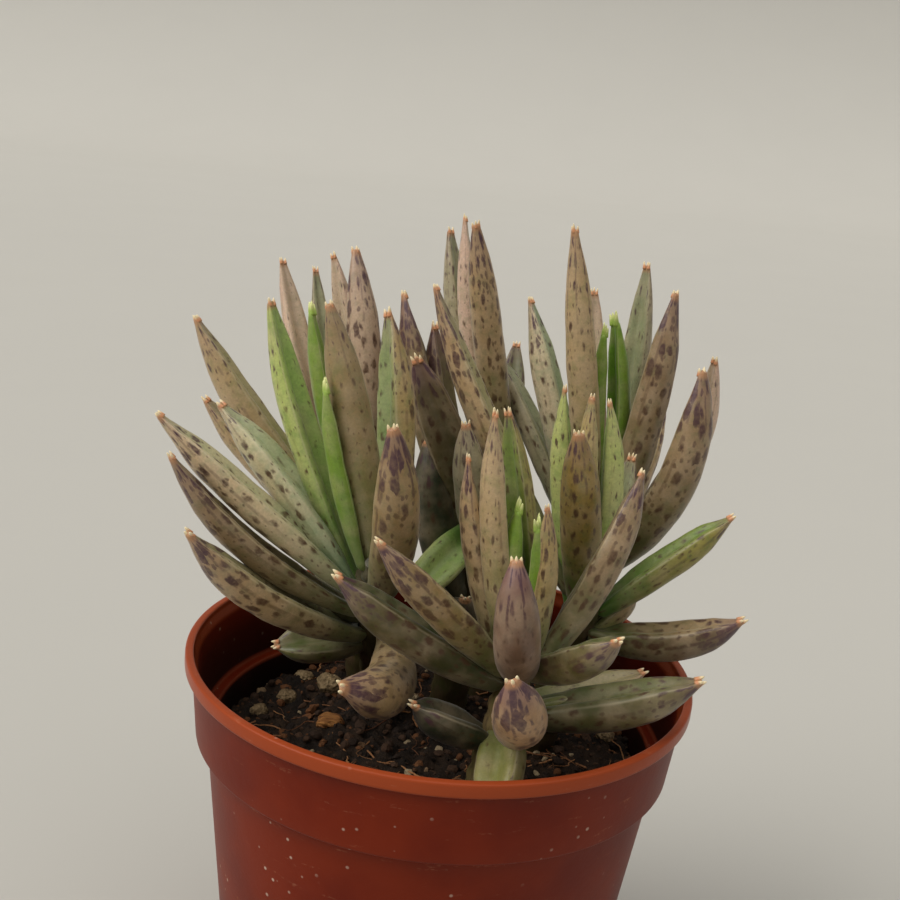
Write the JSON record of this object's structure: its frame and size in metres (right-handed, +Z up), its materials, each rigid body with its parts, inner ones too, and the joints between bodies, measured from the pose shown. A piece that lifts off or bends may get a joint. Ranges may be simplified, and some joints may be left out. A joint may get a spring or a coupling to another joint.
{
  "type": "potted mother of thousands",
  "caption": "Small leafy succulent with thick mottled boat-shaped leaves in upright rosettes, growing in soil in a round terracotta-coloured nursery pot; a decorative houseplant.",
  "frame": {"origin": "middle of the flat underside of the pot", "axes": "+Z up out of the pot, +Y away from the side the picture was taken from, +X to the right in the picture"},
  "size_m": [0.0951, 0.0873, 0.1453],
  "materials": {
    "pot": "terracotta-coloured plastic with a faint sheen on the lip and a few pale scuffs",
    "soil": null,
    "pumice": "rough pale pumice grit",
    "bark": "orange-brown bark chip",
    "mottled_leaf": null,
    "young_leaf": "bright green waxy young leaf with pale yellow-green teeth; stands in for plant tissue"
  },
  "bodies": {
    "root": {"pot": "pot", "soil": "soil", "pumice_1": "pumice", "pumice_2": "pumice", "pumice_3": "pumice", "pumice_4": "pumice", "pumice_5": "pumice", "bark": "bark", "shoot_front_right": "mottled_leaf", "young_leaves_front_right": "young_leaf", "shoot_front_left": "mottled_leaf", "young_leaves_front_left": "young_leaf", "shoot_back_left": "mottled_leaf", "young_leaves_back_left": "young_leaf", "shoot_middle": "mottled_leaf", "shoot_back": "mottled_leaf", "shoot_back_right": "mottled_leaf", "young_leaves_back_right": "young_leaf", "shoot_right": "mottled_leaf"}
  },
  "joints": []
}
